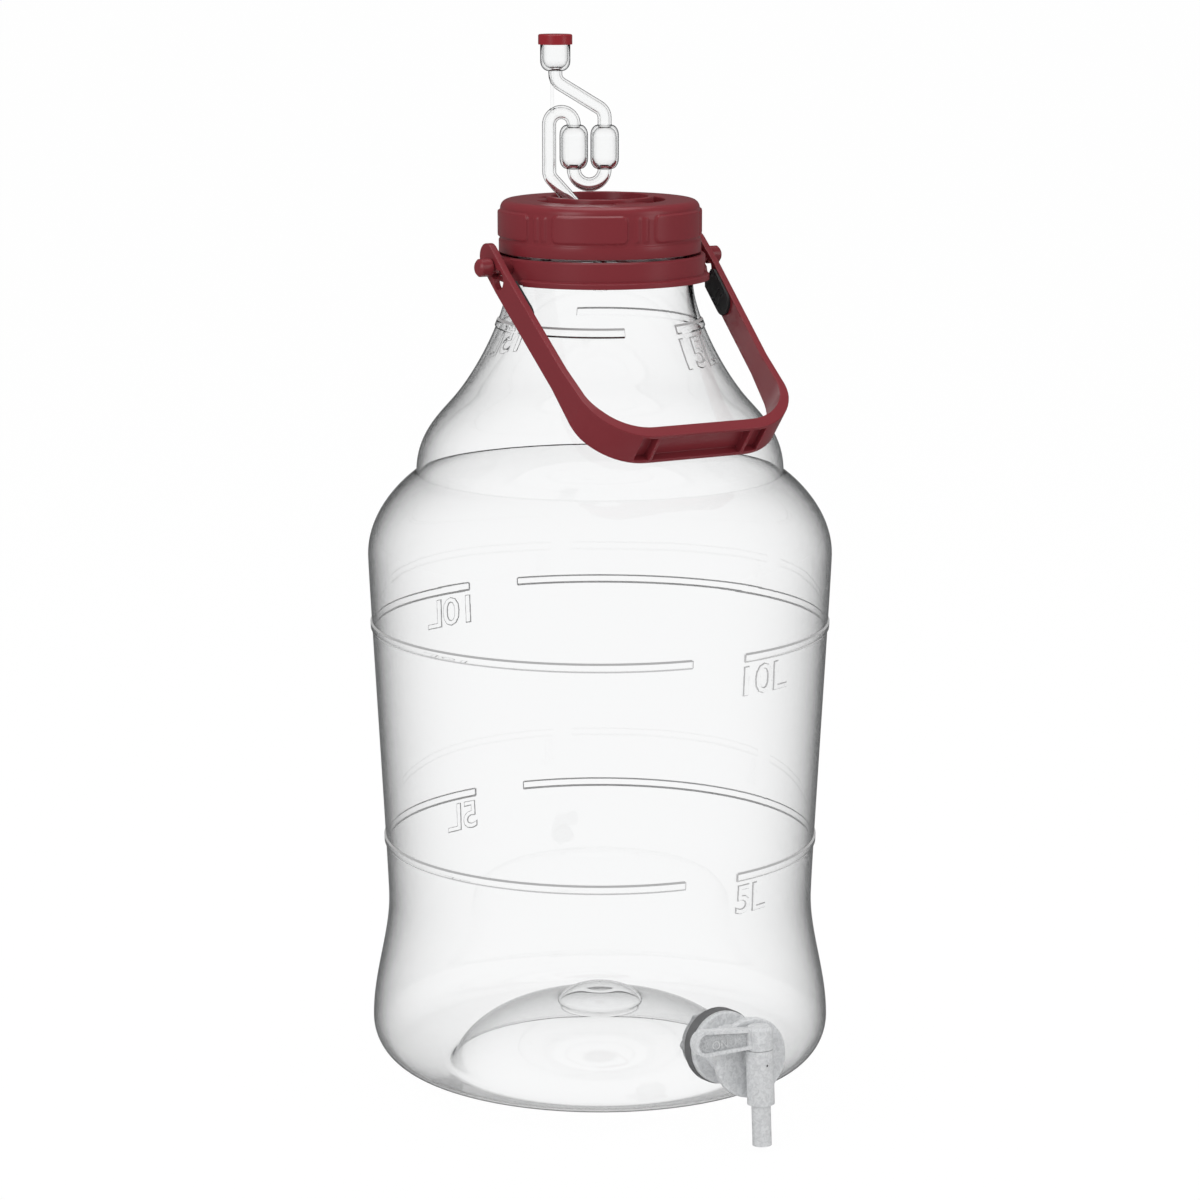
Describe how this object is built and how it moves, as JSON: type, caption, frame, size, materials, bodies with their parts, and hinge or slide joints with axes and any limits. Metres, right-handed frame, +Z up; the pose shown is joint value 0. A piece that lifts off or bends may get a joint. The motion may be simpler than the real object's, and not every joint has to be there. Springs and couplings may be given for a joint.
{
  "type": "fermentation jar with airlock",
  "caption": "Wide clear plastic fermentation jar with a screw cap, a bubbler airlock in the cap, a swinging carrying handle on a neck collar and a drain tap near the base.",
  "frame": {"origin": "on the jar's axis, in the plane that its foot ring stands on", "axes": "+Z up the jar's axis, -Y towards the tap and the side that the handle leans on at rest, +X towards one handle peg"},
  "size_m": [0.2454, 0.2926, 0.5531],
  "materials": {
    "clear_pet": "clear glossy blown plastic",
    "clear_styrene": "clear glossy moulded plastic",
    "burgundy_plastic": "satin moulded plastic",
    "red_plastic": "satin moulded plastic",
    "grey_plastic": "translucent natural plastic, slightly mottled",
    "white_plastic": "satin",
    "black_rubber": "matt",
    "seal_foam": "matt"
  },
  "bodies": {
    "jar": {"bottle_base": "clear_pet", "bottle_body": "clear_pet", "bottle_shoulder": "clear_pet", "bottle_neck": "clear_pet", "tap_body": "grey_plastic", "tap_gasket_outer": "black_rubber", "tap_gasket_inner": "black_rubber", "tap_nut": "white_plastic"},
    "collar": {"handle_collar": "burgundy_plastic"},
    "bail": {"handle": "burgundy_plastic", "arm_pad_left": "black_rubber", "arm_pad_right": "black_rubber"},
    "seal": {"cap_seal": "seal_foam"},
    "cap": {"screw_cap": "burgundy_plastic", "grommet": "black_rubber"},
    "airlock": {"airlock_body": "clear_styrene"},
    "airlock_lid": {"airlock_cap": "red_plastic"},
    "lever": {"tap_lever": "grey_plastic"}
  },
  "joints": [
    {"name": "collar_turn", "type": "hinge", "parent": "jar", "child": "collar", "pos_m": [0, 0, 0.427], "axis": [0, 0, 1], "continuous": true},
    {"name": "handle_swing", "type": "hinge", "parent": "collar", "child": "bail", "pos_m": [0, 0, 0.436], "axis": [-1, 0, 0], "range_deg": [0, 259]},
    {"name": "cap_lift", "type": "slide", "parent": "jar", "child": "seal", "axis": [0, 0, 1], "range_m": [0, 0.0151]},
    {"name": "cap_turn", "type": "hinge", "parent": "seal", "child": "cap", "pos_m": [0, 0, 0.4683], "axis": [0, 0, 1], "range_deg": [0, 900]},
    {"name": "airlock_pull", "type": "slide", "parent": "cap", "child": "airlock", "axis": [0, 0, 1], "range_m": [0, 0.03]},
    {"name": "airlock_lid_pull", "type": "slide", "parent": "airlock", "child": "airlock_lid", "axis": [0, 0, 1], "range_m": [0, 0.012]},
    {"name": "lever_turn", "type": "hinge", "parent": "jar", "child": "lever", "pos_m": [0, -0.16142, 0.04586], "axis": [0, 0.0664, 0.9978], "range_deg": [0, 90]}
  ],
  "couplings": [
    {"joint": "cap_lift", "follows": "cap_turn", "m_per_rad": 0.00095493}
  ]
}
